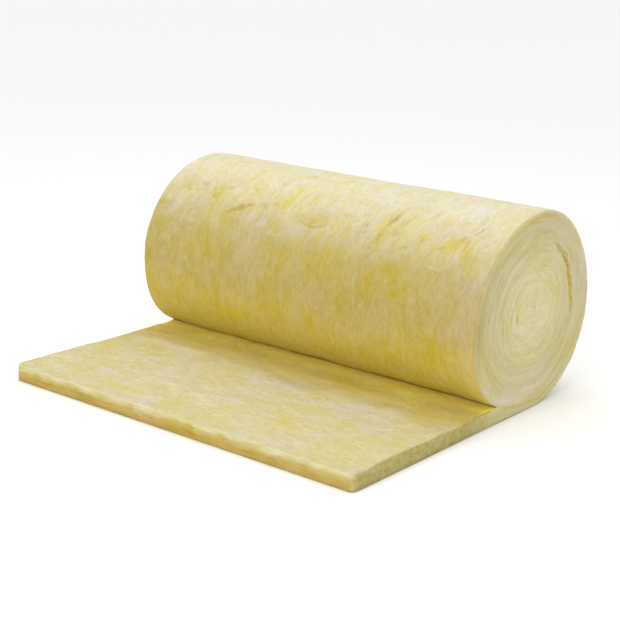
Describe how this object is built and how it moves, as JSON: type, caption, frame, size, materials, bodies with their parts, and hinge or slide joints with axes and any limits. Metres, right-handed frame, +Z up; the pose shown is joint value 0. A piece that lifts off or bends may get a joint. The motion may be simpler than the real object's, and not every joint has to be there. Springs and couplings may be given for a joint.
{
  "type": "insulation roll",
  "caption": "Blanket of glass wool insulation wound into a sagging roll, with a length of it unrolled flat in front.",
  "frame": {"origin": "on the floor, under the middle of the roll, halfway along its width", "axes": "+X across the blanket's width, along the roll's axis; -Y towards the unrolled tail; +Z up"},
  "size_m": [1.2, 1.121, 0.5645],
  "materials": {
    "glass_wool": "matt fibrous wool"
  },
  "bodies": {
    "root": {"glass_wool_blanket": "glass_wool"}
  },
  "joints": []
}
